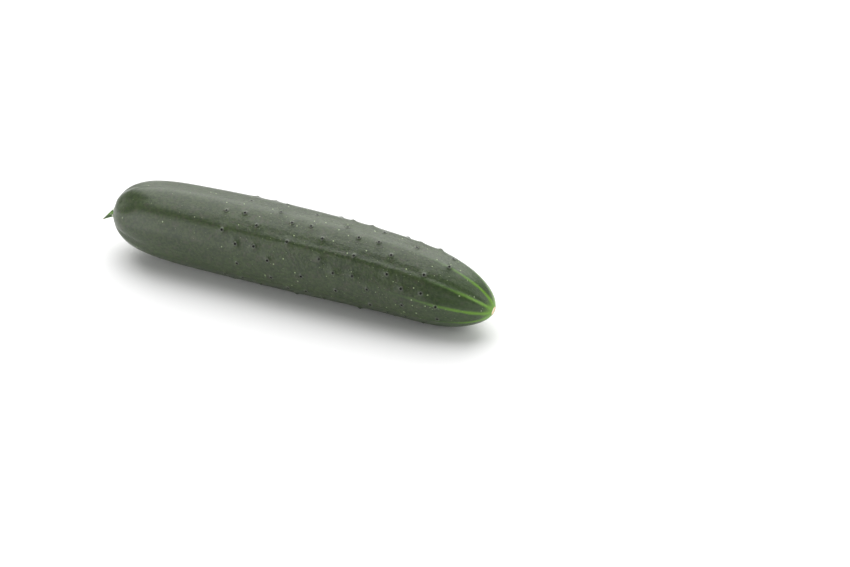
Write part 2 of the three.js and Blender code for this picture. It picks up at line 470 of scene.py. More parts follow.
print(SIDE_COUNT, "sides,", RIB_COUNT, "ribs, creases", CREASE["depth"] / MM, "mm deep")

# %% [markdown]
# A point of the skin
# Any point is found from two numbers: its share of the length, and its angle round the body. The skin also
# sinks in at both ends: into the hollow round the stem, and into the small corky scar that the flower left.

# %% From share and angle to a place
STEM_DISH = {"radius": 9 * MM, "depth": 1.6 * MM}
SCAR_RADIUS = 2.5 * MM
SCAR_RIM = {"height": 0.35 * MM, "width": 0.3 * SCAR_RADIUS}
SCAR_HOLLOW = {"depth": 0.7 * MM, "radius": 1.6 * SCAR_RADIUS}
ROUND_POLE = 8 * MM  # the girth under which the relief fades, so that the poles stay round


def end_sink(share, girth):
    """How far a point near either pole moves along the fruit, for the stem's hollow and for the scar."""
    at_stem = maths("LESS_THAN", share, 0.5)
    stem_dish = STEM_DISH["depth"] * smooth(girth, STEM_DISH["radius"], 0)
    hollow = SCAR_HOLLOW["depth"] * smooth(girth, SCAR_HOLLOW["radius"], 0)
    rim = SCAR_RIM["height"] * hill(girth - SCAR_RADIUS, SCAR_RIM["width"])
    return at_stem * stem_dish - (1 - at_stem) * (hollow - rim)


def skin_point(share, angle):
    heading, droop = line_angles(share)
    side = combine(sine(heading), cosine(heading), 0)
    up = combine(cosine(heading) * sine(droop), -(sine(heading) * sine(droop)), cosine(droop))
    girth = body_radius(share)
    radius = girth + skin_relief(share, angle) * smooth(girth, 0, ROUND_POLE)
    middle = fruit.add("GeometryNodeSampleCurve", {"mode": "FACTOR"}, Curves=line, Factor=share)["Position"]
    across = up * (radius * cosine(angle)) - side * (radius * sine(angle))
    return middle + across + way_along(share) * end_sink(share, girth)


print("the scar is", 2 * SCAR_RADIUS / MM, "mm across, the hollow", STEM_DISH["depth"] / MM, "mm deep")

# %% [markdown]
# The skin's net
# The net is a flat grid that is rolled up. Its long side becomes the length and its short side the way
# round. The rings crowd together at both ends, where the skin turns in fast. Rolled up this way its faces
# look inwards, so they are flipped. Otherwise a wart that rises along the normal would be a dent. Each
# corner keeps its share and its turn as a UV map, so that a pattern can follow the skin without a seam.
# Each point keeps the way round as a direction: where the grid's two long edges are merged, a turn of 0
# and a turn of 1 would average to a half, but two equal directions stay the same.

# %% Roll the grid up
CROWDED = 0.14  # the share of all rings, at each end, that crowd together


def grid_share(across):
    """Evenly spaced in the middle, closer and closer at both ends."""
    off = across - 0.5
    depth = 0.5 - maths("ABSOLUTE", off)
    near = maths("MINIMUM", depth, CROWDED)
    walked = (depth - near + near * near / (2 * CROWDED)) / (1 - CROWDED)
    return 0.5 + maths("SIGN", off) * (0.5 - walked)


def store(geometry, name, value, kind="FLOAT", domain="POINT"):
    settings = {"data_type": kind, "domain": domain}
    return fruit.add("GeometryNodeStoreNamedAttribute", settings,
                     Geometry=geometry, Name=name, Value=value)["Geometry"]


def stored(name, kind="FLOAT"):
    return fruit.add("GeometryNodeInputNamedAttribute", {"data_type": kind}, Name=name)["Attribute"]


def position():
    return fruit.add("GeometryNodeInputPosition")["Position"]


grid = fruit.add("GeometryNodeMeshGrid", None, Size_X=1, Size_Y=1,
                 Vertices_X=size["Rings"], Vertices_Y=size["Sectors"])["Mesh"]
across_grid, up_grid, _ = split(position())
share = grid_share(across_grid + 0.5)
turn = up_grid + 0.5
skin = store(grid, "skin_place", combine(share, turn, 0), "FLOAT2", "CORNER")
skin = store(skin, "girth", body_radius(share))
skin = store(skin, "share", share)
skin = store(skin, "around", combine(cosine(turn * FULL_TURN), sine(turn * FULL_TURN), 0), "FLOAT_VECTOR")
rolled = skin_point(share, turn * FULL_TURN)
skin = fruit.add("GeometryNodeSetPosition", None, Geometry=skin, Position=rolled)["Geometry"]
skin = fruit.add("GeometryNodeFlipFaces", None, Mesh=skin)["Mesh"]
print("the grid is rolled up")

# %% [markdown]
# Where it lies
# A cucumber on a table touches it along a narrow strip. The fruit is lifted until its lowest point is just
# under the table, and what is under the table is pressed up to it. A soft maximum rounds the strip's edge.

# %% Press it on the table
PRESS_SOFTNESS = 0.3 * MM
SAME_PLACE = 0.001 * MM  # points closer than this are merged

height_of_skin = split(position())[2]
heights = fruit.add("GeometryNodeAttributeStatistic", None, Geometry=skin, Attribute=height_of_skin)
lift = -heights["Min"] - size["Flat depth"]


def press(place):
    x, y, z = split(place)
    return combine(x, y, maths("SMOOTH_MAX", z + lift, 0, PRESS_SOFTNESS))


skin = fruit.add("GeometryNodeSetPosition", None, Geometry=skin, Position=press(position()))["Geometry"]
skin = fruit.add("GeometryNodeMergeByDistance", None, Geometry=skin, Distance=SAME_PLACE)["Geometry"]
print("the skin is pressed and closed")

# %% [markdown]
# The warts
# Low warts are spread over the skin past the smooth neck. Random points would leave gaps and clumps, so
# each wart steps on by a fixed share of the length and of a turn, which never repeats and spreads them
# evenly. The skin then rises by its distance to the nearest wart. It keeps the way to that wart as well,
# and a second number that grows past the wart's reach, so that the material can draw the crown.

# %% Wart places
WART_FIRST = 0.316
WART_LAST = 0.913
WART_CLEARANCE = 1.6 * MM  # a wart that would stand lower than this is left out
EVEN_ALONG = {"start": 0.825, "step": 0.7548776662}
EVEN_ROUND = {"start": 0.347, "step": 0.569840291}
EVEN_SIZE = {"start": 0, "step": 0.6180339887}


def even(start, step):
    """A sequence between 0 and 1 that never repeats and leaves no large gap."""
    index = fruit.add("GeometryNodeInputIndex")["Index"]
    return maths("FRACT", start + index * step)


wart_share = WART_FIRST + (WART_LAST - WART_FIRST) * even(**EVEN_ALONG)
wart_place = press(skin_point(wart_share, FULL_TURN * even(**EVEN_ROUND)))
warts = fruit.add("GeometryNodePoints", None, Count=size["Warts"], Position=wart_place)["Points"]
warts = store(warts, "wart_size", even(**EVEN_SIZE))
too_low = maths("LESS_THAN", split(position())[2], WART_CLEARANCE)
warts = fruit.add("GeometryNodeDeleteGeometry", None, Geometry=warts, Selection=too_low)["Geometry"]
print(fruit_sizes["Warts"], "warts are placed, and those under the fruit are left out")

# %% Raise the skin round each wart
WART_RADIUS = (1.3 * MM, 1.9 * MM)
WART_HEIGHT = (0.5 * MM, 0.95 * MM)
WART_REACH = 3 * MM
CONE_SPREAD = 1.15  # how far a cone's foot reaches, against the wart's radius
SWELLING = {"radius": 5 * MM, "height": 0.26 * MM}


def of_nearest_wart(value, kind):
    nearest = fruit.add("GeometryNodeSampleNearest", {"domain": "POINT"}, Geometry=warts)["Index"]
    return fruit.add("GeometryNodeSampleIndex", {"data_type": kind, "domain": "POINT"},
                     Geometry=warts, Value=value, Index=nearest)["Value"]


def between(pair, share_of_it):
    return pair[0] + (pair[1] - pair[0]) * share_of_it


to_wart = position() - of_nearest_wart(position(), "FLOAT_VECTOR")
skin = store(skin, "wart_way", to_wart, "FLOAT_VECTOR")
skin = store(skin, "wart_size", of_nearest_wart(stored("wart_size"), "FLOAT"))
wart_distance = maths("LENGTH", stored("wart_way", "FLOAT_VECTOR"))
skin = store(skin, "wart_far", maths("MAXIMUM", wart_distance - WART_REACH, 0))
wart_size = stored("wart_size")
above_swelling = between(WART_HEIGHT, wart_size) - SWELLING["height"]
cone = above_swelling * smooth(wart_distance, CONE_SPREAD * between(WART_RADIUS, wart_size), 0)
swelling = SWELLING["height"] * smooth(wart_distance, SWELLING["radius"], 0)
print("warts are", WART_HEIGHT[0] / MM, "to", WART_HEIGHT[1] / MM, "mm high")

# %% [markdown]
# Ridges and furrows
# Where two of the three soft sides meet, a low ridge grows towards the blossom end, with a shallow furrow
# along its upper edge. The furrow begins in a broad dimple beside the stem, and above that a narrow fold
# nicks the fruit's edge. Each is a bell-shaped rise or dip across the body, so it only needs the angle to
# its own middle line. The ridge is steep above and gentle below, so below it that angle counts for less.

# %% Ridges, furrows and crest lines
RIDGE_TURN = 48.5 / 360  # where the first of the three ridges runs, as a share of a full turn
RIDGE = {"width": 4.6 / 360, "height": 0.34 * MM, "lower_side": 0.5, "start": 0.1, "full": 0.65}
FURROW = {"offset": 10 / 360, "width": 6.0 / 360, "depth": 0.30 * MM, "start": 0.05, "full": 0.55}
FOLD = {"turn": 0, "width": 9 / 360, "depth": 0.28 * MM, "peak": 0.02, "end": 0.13}
CREST_LINE = {"width": 1.0 * MM, "height": 0.07 * MM, "start": 0.55, "full": 0.85, "fades": 0.93}
RIDGE_GIRTH = (4 * MM, 12 * MM)  # the girths between which ridge and furrow fade towards a pole


def crest_distance(turn, girth):
    """How far a point is from the nearest rib's crest, round the body."""
    ribs = turn * RIB_COUNT - RIB_TURN * RIB_COUNT
    return maths("ABSOLUTE", ribs - maths("ROUND", ribs)) * girth * (FULL_TURN / RIB_COUNT)


def rises(share, shape):
    """0 where a shape starts along the fruit, and 1 where it has its full height."""
    return smooth(share, shape["start"], shape["full"])


def ridge_turn(turn):
    """How far round a point is from the nearest ridge, as a share of a full turn."""
    return turn_from(turn * SIDE_COUNT, RIDGE_TURN * SIDE_COUNT) / SIDE_COUNT


share, girth = stored("share"), stored("girth")
around_x, around_y, _ = split(stored("around", "FLOAT_VECTOR"))
turn = maths("ARCTAN2", around_y, around_x) / FULL_TURN
crest = hill(crest_distance(turn, girth), CREST_LINE["width"]) * rises(share, CREST_LINE)
crest = crest * smooth(share, 1, CREST_LINE["fades"]) * CREST_LINE["height"]
to_ridge = ridge_turn(turn)
lopsided = maths("MINIMUM", to_ridge, to_ridge * RIDGE["lower_side"])
ridge = hill(lopsided, RIDGE["width"]) * RIDGE["height"] * rises(share, RIDGE)
furrow = hill(to_ridge + FURROW["offset"], FURROW["width"]) * FURROW["depth"]
ridge_relief = (ridge - furrow * rises(share, FURROW)) * smooth(girth, *RIDGE_GIRTH)


def dip(shape):
    """A dent beside the stem that is deepest at its peak and gone at its end."""
    across = hill(turn_from(turn, shape["turn"]), shape["width"])
    along = smooth(share, 0, shape["peak"]) * smooth(share, shape["end"], shape["peak"])
    return across * along * shape["depth"]


dents = dip(DIMPLE) + dip(FOLD)
print("the ridge is", RIDGE["height"] / MM, "mm high and the dimple", DIMPLE["depth"] / MM, "mm deep")

# %% [markdown]
# The small unevenness of a grown thing
# A rule alone looks cast in a mould. A real skin has a slow waviness that bends its gleam, and low
# lengthwise wrinkles that show along its edge. Soft noise gives both. For the wrinkles it is stretched
# along the fruit, by reading it at a place whose length is shortened.

# %% Waviness and wrinkles
WAVES = [(28, 0.30 * MM), (95, 0.14 * MM)]  # waves to the metre, and their height
WRINKLES = {"stretch": 0.22, "scale": 210, "height": 0.13 * MM, "start": 0.2, "full": 0.4}
CALM_FLOOR = (0.2 * MM, 4 * MM)  # the heights between which all relief fades towards the table
CALM_GIRTH = (3 * MM, 14 * MM)  # the girths between which the unevenness fades towards a pole

waves = sum(noise(position(), scale) * height for scale, height in WAVES)
stretched = position() * (WRINKLES["stretch"], 1, 1)
wrinkles = noise(stretched, WRINKLES["scale"]) * WRINKLES["height"] * rises(share, WRINKLES)
clear = smooth(split(position())[2], *CALM_FLOOR)
normal = fruit.add("GeometryNodeInputNormal")["Normal"]
calm_ends = smooth(girth, *CALM_GIRTH)
unevenness = (waves + wrinkles) * calm_ends
offset = normal * ((cone + swelling + crest + ridge_relief - dents + unevenness) * clear)
skin = fruit.add("GeometryNodeSetPosition", None, Geometry=skin, Offset=offset)["Geometry"]

skin_finish = bpy.data.materials.new("cucumber_skin")
finish_tree(fruit, skin, skin_finish)
cucumber = run_tree(fruit, fruit_sizes, "cucumber")
print("skin:", len(cucumber.data.vertices), "points,", len(cucumber.data.polygons), "faces")

# %% [markdown]
# Into its place
# The tree makes the fruit from its stem end outwards. The packed solid tells where that is in the shared
# frame, so the mesh is moved until the two boxes match.

# %% Move the skin to the solid's place
def volume_of(thing):
    """The volume that a closed mesh holds, in cubic millimetres; below zero it is inside out."""
    mesh = bmesh.new()
    mesh.from_mesh(thing.data)
    volume = mesh.calc_volume(signed=True)
    open_edges = sum(not edge.is_manifold for edge in mesh.edges)
    mesh.free()
    return round(volume / MM ** 3), open_edges


def box_of(thing):
    corners = [Vector(point.co) for point in thing.data.vertices]
    low = Vector(min(corner[axis] for corner in corners) for axis in range(3))
    high = Vector(max(corner[axis] for corner in corners) for axis in range(3))
    return low, high


low, high = box_of(cucumber)
cad_low, cad_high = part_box("fruit")
shift = Vector((cad_high.x - high.x, (cad_low.y + cad_high.y - low.y - high.y) / 2, 0))
cucumber.data.transform(Matrix.Translation(shift))
low, high = box_of(cucumber)
print("skin box:", in_mm(low), in_mm(high), "solid:", in_mm(cad_low), in_mm(cad_high))
volume, open_edges = volume_of(cucumber)
print("the skin holds", volume, "cubic mm and has", open_edges, "open edges")
assert open_edges == 0, "the skin is not closed"

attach(cucumber, "root")
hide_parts("fruit")

# %% [markdown]
# Where the stem stub runs
# A short piece of stem is left on the fruit, and the knife went through it at a slant. Its place could be
# typed in, but then it would stay behind if the fruit's sizes changed. So it starts from the skin's own
# pole. It leaves straight out of the fruit, then bends down and to the side.

# %% The stem's curve
def pole_of(thing):
    """The skin's stem pole: the point with the lowest share of the length."""
    shares = thing.data.attributes["share"].data
    first = min(range(len(shares)), key=lambda index: shares[index].value)
    return thing.data.vertices[first].co.copy()


STEM_ROOT = 2.6 * MM  # how deep the stub's root lies in the fruit
STEM_BEND = Vector((-2.6, -0.8, -0.9)) * MM
STEM_LEAN = Vector((-0.84, -0.39, -0.37)).normalized()
STEM_REACH = 10 * MM  # how far the whole curve runs past its bend, cut or not

pole = pole_of(cucumber)
stem_out = -Vector((math.cos(fruit_sizes["Side bend"] / 2), math.sin(fruit_sizes["Side bend"] / 2), 0))
stem_start = pole - stem_out * STEM_ROOT
stem_bend = pole + STEM_BEND
stem_end = stem_bend + STEM_LEAN * STEM_REACH
print("the pole is at", in_mm(pole), "and the stem bends at", in_mm(stem_bend))

# %% Where the knife cut it
STEM_CUT_AT = 2.6 * MM
STEM_CUT_FACING = Vector((-0.74, 0, 0.67)).normalized()
HALVINGS = 40

cut_centre = stem_bend + STEM_LEAN * STEM_CUT_AT


def on_curve(t):
    return stem_start * (1 - t) ** 2 + stem_bend * 2 * t * (1 - t) + stem_end * t ** 2


def cut_share():
    """Where the stem's curve meets the cut, found by halving."""
    low, high = 0.0, 1.0
    for _ in range(HALVINGS):
        middle = (low + high) / 2
        if (on_curve(middle) - cut_centre).dot(STEM_CUT_FACING) < 0:
            low = middle
        else:
            high = middle
    return low


stub_sizes = {
    "Start": tuple(stem_start),
    "Bend": tuple(stem_bend),
    "End": tuple(stem_end),
    "Cut share": cut_share(),
    "Radius": 2.05 * MM,
    "Flare": 0.65 * MM,
    "Rib height": 0.2 * MM,
    "Rings": 90,
    "Sectors": 120,
}
print("the cut is at", round(stub_sizes["Cut share"], 3), "of the curve")

# %% [markdown]
# The stub's rings
# The stub could be a swept curve cut by a block, but a cut mesh has ragged triangles. Here it is one
# rolled-up grid again. The first rings close its root inside the fruit, most follow the stem's curve, and
# the last close in towards the middle as the cut face.

# %% Share out the rings
STUB_ROOT = 0.06  # the share of the rings that close the root, inside the fruit
STUB_SIDE = 0.7  # where the rings of its side end; the rest make the cut face

stub, stem = new_tree("stem_stub", stub_sizes)
net = stub.add("GeometryNodeMeshGrid", None, Size_X=1, Size_Y=1,
               Vertices_X=stem["Rings"], Vertices_Y=stem["Sectors"])["Mesh"]
across_net, up_net, _ = split(stub.add("GeometryNodeInputPosition")["Position"])
ring_share = across_net + 0.5
root_share = maths("MINIMUM", ring_share / STUB_ROOT, 1)
side_share = maths("MAXIMUM", maths("MINIMUM", (ring_share - STUB_ROOT) / (STUB_SIDE - STUB_ROOT), 1), 0)
face_share = maths("MAXIMUM", ring_share - STUB_SIDE, 0) / (1 - STUB_SIDE)
angle = (up_net + 0.5) * FULL_TURN
t = side_share * stem["Cut share"]
print("rings:", round(STUB_ROOT, 2), "for the root,", round(STUB_SIDE - STUB_ROOT, 2), "for the side,",
      round(1 - STUB_SIDE, 2), "for the cut face")

# %% [markdown]
# The shape of a ring
# The stem has five rounded ribs with sharp valleys and widens towards the fruit. A ring stands square to
# the curve at first. Towards the cut each ring leans over a little more, by a slide along the stem, until
# the last lies in the cut. The cut face is sunk a little, because its soft middle dries first.

# %% Place the rings
STEM_RIBS = 5
RIB_SWING = 1.6  # from valley to crest, against the rib height; half of it is outside the mean
FLARE_END = 0.55  # where on the curve the root's widening ends
LEAN_START = 0.35  # where the rings begin to lean towards the cut, as a share of the side
CUT_HOLLOW = 0.25 * MM
CUT_RIM = 0.6  # how far in from its edge the cut face goes on sinking
STEM_ROUGH = {"scale": 1500, "height": 0.12 * MM, "full": 0.3}

first_leg = stem["Bend"] - stem["Start"]
last_leg = stem["End"] - stem["Bend"]
centre = stem["Start"] + first_leg * (2 * t) + (last_leg - first_leg) * (t * t)
tangent = maths("NORMALIZE", first_leg * (1 - t) + last_leg * t)
tangent_x, tangent_y, _ = split(tangent)
side = maths("NORMALIZE", combine(-tangent_y, tangent_x, 0))
up = maths("CROSS_PRODUCT", tangent, side)
ribs = stem["Rib height"] * (
    RIB_SWING * maths("ABSOLUTE", cosine(angle * (STEM_RIBS / 2))) - RIB_SWING / 2)
radius = stem["Radius"] + stem["Flare"] * smooth(t, FLARE_END, 0) + ribs
outward = up * (radius * cosine(angle)) - side * (radius * sine(angle))
facing = tuple(STEM_CUT_FACING)
slide = maths("DOT_PRODUCT", outward, facing) / -STEM_LEAN.dot(STEM_CUT_FACING)
leaned = outward + combine(*[slide * smooth(side_share, LEAN_START, 1) * part for part in STEM_LEAN])
sunk = combine(*[smooth(face_share, 0, CUT_RIM) * -CUT_HOLLOW * part for part in STEM_CUT_FACING])
rolled = centre + leaned * (root_share * (1 - face_share)) + sunk
rough = noise(rolled, STEM_ROUGH["scale"], 3) * STEM_ROUGH["height"]
rough = rough * smooth(side_share, 0, STEM_ROUGH["full"])
rolled = rolled + combine(*[rough * part for part in STEM_CUT_FACING])
print("the stem has", STEM_RIBS, "ribs")

# %% Make the stub
place = combine(side_share + face_share, up_net + 0.5, 0)
stub_skin = stub.add("GeometryNodeStoreNamedAttribute", {"data_type": "FLOAT2", "domain": "CORNER"},
                     Geometry=net, Name="stub_place", Value=place)["Geometry"]
stub_skin = stub.add("GeometryNodeSetPosition", None, Geometry=stub_skin, Position=rolled)["Geometry"]
stub_skin = stub.add("GeometryNodeFlipFaces", None, Mesh=stub_skin)["Mesh"]
stub_skin = stub.add("GeometryNodeMergeByDistance", None,
                     Geometry=stub_skin, Distance=SAME_PLACE)["Geometry"]
stem_finish = bpy.data.materials.new("stem")
finish_tree(stub, stub_skin, stem_finish)
stem_stub = run_tree(stub, stub_sizes, "stem_stub_cut")
low, high = box_of(stem_stub)
cad_low, cad_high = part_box("stem_stub")
print("stub box:", in_mm(low), in_mm(high), "solid:", in_mm(cad_low), in_mm(cad_high))
volume, open_edges = volume_of(stem_stub)
print("the stub holds", volume, "cubic mm and has", open_edges, "open edges")
assert open_edges == 0, "the stub is not closed"

# %% [markdown]
# Helpers for a finish
# A finish starts from the Principled shader that a new material has. Colours are mixed by a mask, because a
# mask says where a colour shows, and one mask can serve colour, gleam and bump alike. Most masks here are
# soft patches of noise. A noise read straight from the UV map would break where the map's two edges meet. So
# a pattern that crosses them is read at a place that is wound round a circle.

# %% Start a finish, mix and read
def start_material(material):
    """The board of a material and its Principled shader."""
    material.use_nodes = True
    shader = material.node_tree.nodes["Principled BSDF"]
    return Board(material.node_tree), shader


def mix(mask, first, second):
    """The first colour where the mask is 0, the second where it is 1."""
    return mask.board.add("ShaderNodeMix", {"data_type": "RGBA"}, Factor=mask, A=first, B=second)["Result"]


def attribute(board, name, output="Fac"):
    """What the mesh keeps at each point under a name."""
    return board.add("ShaderNodeAttribute", {"attribute_name": name})[output]


kept = [item.name for item in cucumber.data.attributes if not item.name.startswith((".", "sharp"))]
print("the skin's mesh keeps", kept)


# %% Patterns, and what goes into a shader
def patches(place, low, high, **texture):
    """A mask of soft patches: 0 where the noise is under low, and 1 where it is over high."""
    return smooth(noise(place, **texture), low, high)


def uneven(place, height, **texture):
    """Noise that swings by half its height to either side of zero."""
    return noise(place, **texture) * height


def wound(along, circle, length, width):
    """A place on a rolled-up sheet, so that a noise meets itself after a full turn."""
    return combine(along * length, cosine(circle) * width, sine(circle) * width)


def bump_of(height):
    return height.board.add("ShaderNodeBump", None, Strength=1, Distance=1, Height=height)["Normal"]


def dress(board, shader, **looks):
    """Plugs numbers and wires into a shader's sockets by their names."""
    for name, item in looks.items():
        board.plug(item, shader.inputs[name.replace("_", " ")])


print("patterns are ready")

# %% [markdown]
# The skin's colour
# The skin is a deep grey-green, finely mottled with a lighter green and a mauve grey, with faint streaks
# along it, and greener towards the blossom end. A single colour would look like plastic. The clouds and
# mottles follow the object's own coordinates. The streaks follow the skin's UV map, wound round a circle.

# %% Ground colour of the skin
DEEP_GREEN = (0.015, 0.030, 0.007)
SOFT_GREEN = (0.044, 0.070, 0.020)
STREAK_GREEN = (0.066, 0.096, 0.031)
MAUVE_GREY = (0.056, 0.054, 0.036)
TIP_GREEN = (0.040, 0.084, 0.020)
CLOUDS = {"scale": 60, "detail": 5, "roughness": 0.6, "low": -0.3, "high": 0.35}
MOTTLES = {"scale": 640, "detail": 2, "roughness": 0.6, "low": -0.09, "high": 0.09}
BLOTCHES = {"scale": 430, "detail": 3, "low": 0, "high": 0.22}
STREAKS = {"scale": 1, "detail": 4, "roughness": 0.6, "low": 0.02, "high": 0.35}
STREAK_SHEET = {"length": 3, "width": 4}
MOTTLE_PART = 0.55  # how much of the ground is mottles; the rest is clouds
BLOTCH_PART = 0.55  # how much of its own colour each of the others brings
STREAK_PART = 0.5
TIP_PART = 0.45
TIP_RISE = (0.80, 0.97)  # where along the fruit it begins to be greener, and where it is full
BLOTCH_OFFSET = (0.3, 0.1, 0.2)  # keeps blotches and mottles from falling together

coat, skin_shader = start_material(skin_finish)
here = coat.add("ShaderNodeTexCoord")["Object"]
share, turn, _ = split(coat.add("ShaderNodeUVMap", {"uv_map": "skin_place"})["UV"])
girth = attribute(coat, "girth")
circle = turn * FULL_TURN
ground = patches(here, **CLOUDS) * (1 - MOTTLE_PART) + patches(here, **MOTTLES) * MOTTLE_PART
colour = mix(ground, DEEP_GREEN, SOFT_GREEN)
colour = mix(patches(here + BLOTCH_OFFSET, **BLOTCHES) * BLOTCH_PART, colour, MAUVE_GREY)
streaks = patches(wound(share, circle, **STREAK_SHEET), **STREAKS)
colour = mix(streaks * STREAK_PART, colour, STREAK_GREEN)
colour = mix(smooth(share, *TIP_RISE) * TIP_PART, colour, TIP_GREEN)
print("ground colour is mixed")

# %% [markdown]
# The rays
# Yellow-green rays run back from the blossom end along the crests of the ribs, broad and bright at the
# tip and thin and faint further back. They could be painted, but each is only a distance from a crest. A
# different random number for each rib makes some rays reach further than others.

# %% Rays and the green tip
RAY_GREEN = (0.052, 0.116, 0.020)
RAY_YELLOW = (0.140, 0.330, 0.008)
RAY_SEED = 137.5  # gives the longest ray the place it has on the fruit
RAY_START = (0.58, 0.80)  # where the longest and the shortest ray begin along the fruit
RAY_WIDTH = (0.36 * MM, 0.70 * MM)  # where a ray begins, and at the tip
RAY_WANDER = {"waves": 14, "rib_step": 3.7, "detail": 4, "height": 0.008}  # off its crest, in turns
RAY_RAGGED = {"waves": 40, "rib_step": 5.3, "detail": 3, "height": 1.6}  # more or less of its width
RAY_FOOT = 2.3  # how far its soft edge reaches, against its width
RAY_FADE = (0.12, 1)  # where it begins to show and is full, as a share of the ray
RAY_YELLOWS = (0.4, 0.95)  # where it turns from green to yellow
RAY_GAPS = {"scale": 1, "detail": 3, "low": -0.45, "high": 0.15}
RAY_GAP_WAVES = (60, 9)  # of the gaps, along the fruit and round it
RAY_BROKEN = (0.45, 1)  # how much of the ray shows in a gap, and outside
RAY_PART = 0.92
YELLOW_TIP = {"girths": (9 * MM, 3 * MM), "shares": (0.9, 0.95), "part": 0.7}


def rib_number(turn):
    ribs = turn * RIB_COUNT - RIB_TURN * RIB_COUNT
    return maths("FLOORED_MODULO", maths("ROUND", ribs), RIB_COUNT)


def along_ray(waves, rib_step, detail, height):
    """Noise that runs along a ray, and that is another one on each rib."""
    return uneven(combine(share * waves, rib * rib_step, 0), height, scale=1, detail=detail)


rib = rib_number(turn)
ray_distance = crest_distance(turn + along_ray(**RAY_WANDER), girth)
luck = coat.add("ShaderNodeTexWhiteNoise", {"noise_dimensions": "1D"}, W=rib + RAY_SEED)["Value"]
ray_start = between(RAY_START, luck)
reach = maths("MAXIMUM", share - ray_start, 0) / (1 - ray_start)
ray_width = between(RAY_WIDTH, reach) * (1 + along_ray(**RAY_RAGGED))
whole = patches(combine(share * RAY_GAP_WAVES[0], circle * RAY_GAP_WAVES[1], rib), **RAY_GAPS)
ray = smooth(ray_distance, ray_width * RAY_FOOT, 0) * smooth(reach, *RAY_FADE) * between(RAY_BROKEN, whole)
colour = mix(ray * RAY_PART, colour, mix(smooth(reach, *RAY_YELLOWS), RAY_GREEN, RAY_YELLOW))
tip = smooth(girth, *YELLOW_TIP["girths"]) * smooth(share, *YELLOW_TIP["shares"])
colour = mix(tip * YELLOW_TIP["part"], colour, RAY_YELLOW)
print("rays are drawn")

# %% [markdown]
# The blossom scar
# Where the flower fell off there is a small round scar: a tan corky ring with a paler dry middle.

# %% Scar
CORK = (0.80, 0.58, 0.34)
CORK_PALE = (0.92, 0.78, 0.56)
SCAR_RAGGED = {"scale": 1400, "detail": 3, "height": 0.8 * MM}
SCAR_EDGE = (0.98 * SCAR_RADIUS, 0.84 * SCAR_RADIUS)  # the girths where the cork begins and is full
SCAR_MIDDLE = (0.8 * SCAR_RADIUS, 0.4 * SCAR_RADIUS)  # and those of its paler middle
SCAR_SIDE = (0.9, 0.91)  # keeps the scar off the stem's end, where the girth is small too

ragged = girth + uneven(here, **SCAR_RAGGED)
scar = smooth(ragged, *SCAR_EDGE) * smooth(share, *SCAR_SIDE)
colour = mix(scar, colour, mix(smooth(ragged, *SCAR_MIDDLE), CORK, CORK_PALE))
print("scar is drawn")

# %% [markdown]
# The crowns of the warts and the specks
# Each wart has a tiny dark pit at its crown, where a spine broke off: the spine's dark base, with painted
# shade of the pit on top. A pale rim round it is a painted highlight. Between the warts the skin is dotted
# with pale specks, fewer near the stem. The crown is a distance from the wart's own middle. The specks come
# from a Voronoi pattern, which gives one dot to each cell.

# %% Crowns and specks
CROWN_DARK_AND_SHADE = (0.008, 0.008, 0.007)
CROWN_HIGHLIGHT_PALE = (0.135, 0.140, 0.125)
# the pale rim is a painted highlight, and the dark pit is partly painted shade
CROWN_RIM = (1.7 * MM, 0.7 * MM)  # where the pale rim begins and is full, from the wart's middle
CROWN_PIT = (0.82 * MM, 0.40 * MM)  # and the dark pit
RIM_HIGHLIGHT_PART = (0.3, 0.6)  # how much of rim and pit shows on the smallest and largest wart
PIT_SHADE_PART = (0.75, 1)
SPECK_PALE = (0.40, 0.50, 0.27)
SPECK_CORE = 0.6  # a speck is fully pale up to here, against its radius
SMALL_SPECKS = {"cell": 2.2 * MM, "radius": 0.26 * MM}
LARGE_SPECKS = {"cell": 4.4 * MM, "radius": 0.44 * MM}
SMALL_PART = 0.5
SPECK_PART = 0.85
SPECKS_KEPT = (0.25, 1)  # the share of cells with a speck, by the stem and on the body
SPECKS_RISE = (0.15, 0.7)  # where along the fruit they grow more

wart_way = attribute(coat, "wart_way", "Vector")
wart_far = attribute(coat, "wart_far")
wart_near = maths("SQRT", maths("DOT_PRODUCT", wart_way, wart_way) + wart_far * wart_far)
wart_size = attribute(coat, "wart_size")
crown_rim_and_highlight = smooth(wart_near, *CROWN_RIM)
crown_pit_and_shade = smooth(wart_near, *CROWN_PIT)
# painted highlight: a pale rim round each crown
colour = mix(crown_rim_and_highlight * between(RIM_HIGHLIGHT_PART, wart_size), colour, CROWN_HIGHLIGHT_PALE)
# the dark pit: the spine's own dark base and painted shade of the pit
colour = mix(crown_pit_and_shade * between(PIT_SHADE_PART, wart_size), colour, CROWN_DARK_AND_SHADE)


def specks(place, cell, radius, keep):
    """Dots of a radius, one to a cell, where the cell's own random number is under keep."""
    cells = place.board.add("ShaderNodeTexVoronoi", None, Vector=place, Scale=1 / cell)
    chance = place.board.add("ShaderNodeSeparateColor", None, cells["Color"])["Red"]
    dot = smooth(cells["Distance"] * cell, radius, radius * SPECK_CORE)
    return dot * maths("LESS_THAN", chance, keep)


often = between(SPECKS_KEPT, smooth(share, *SPECKS_RISE))
small_dots = specks(here, **SMALL_SPECKS, keep=often) * SMALL_PART
large_dots = specks(here, **LARGE_SPECKS, keep=often)
dots = maths("MAXIMUM", small_dots, large_dots) * (1 - scar) * (1 - crown_rim_and_highlight)
colour = mix(dots * SPECK_PART, colour, SPECK_PALE)
print("crowns and specks are drawn")
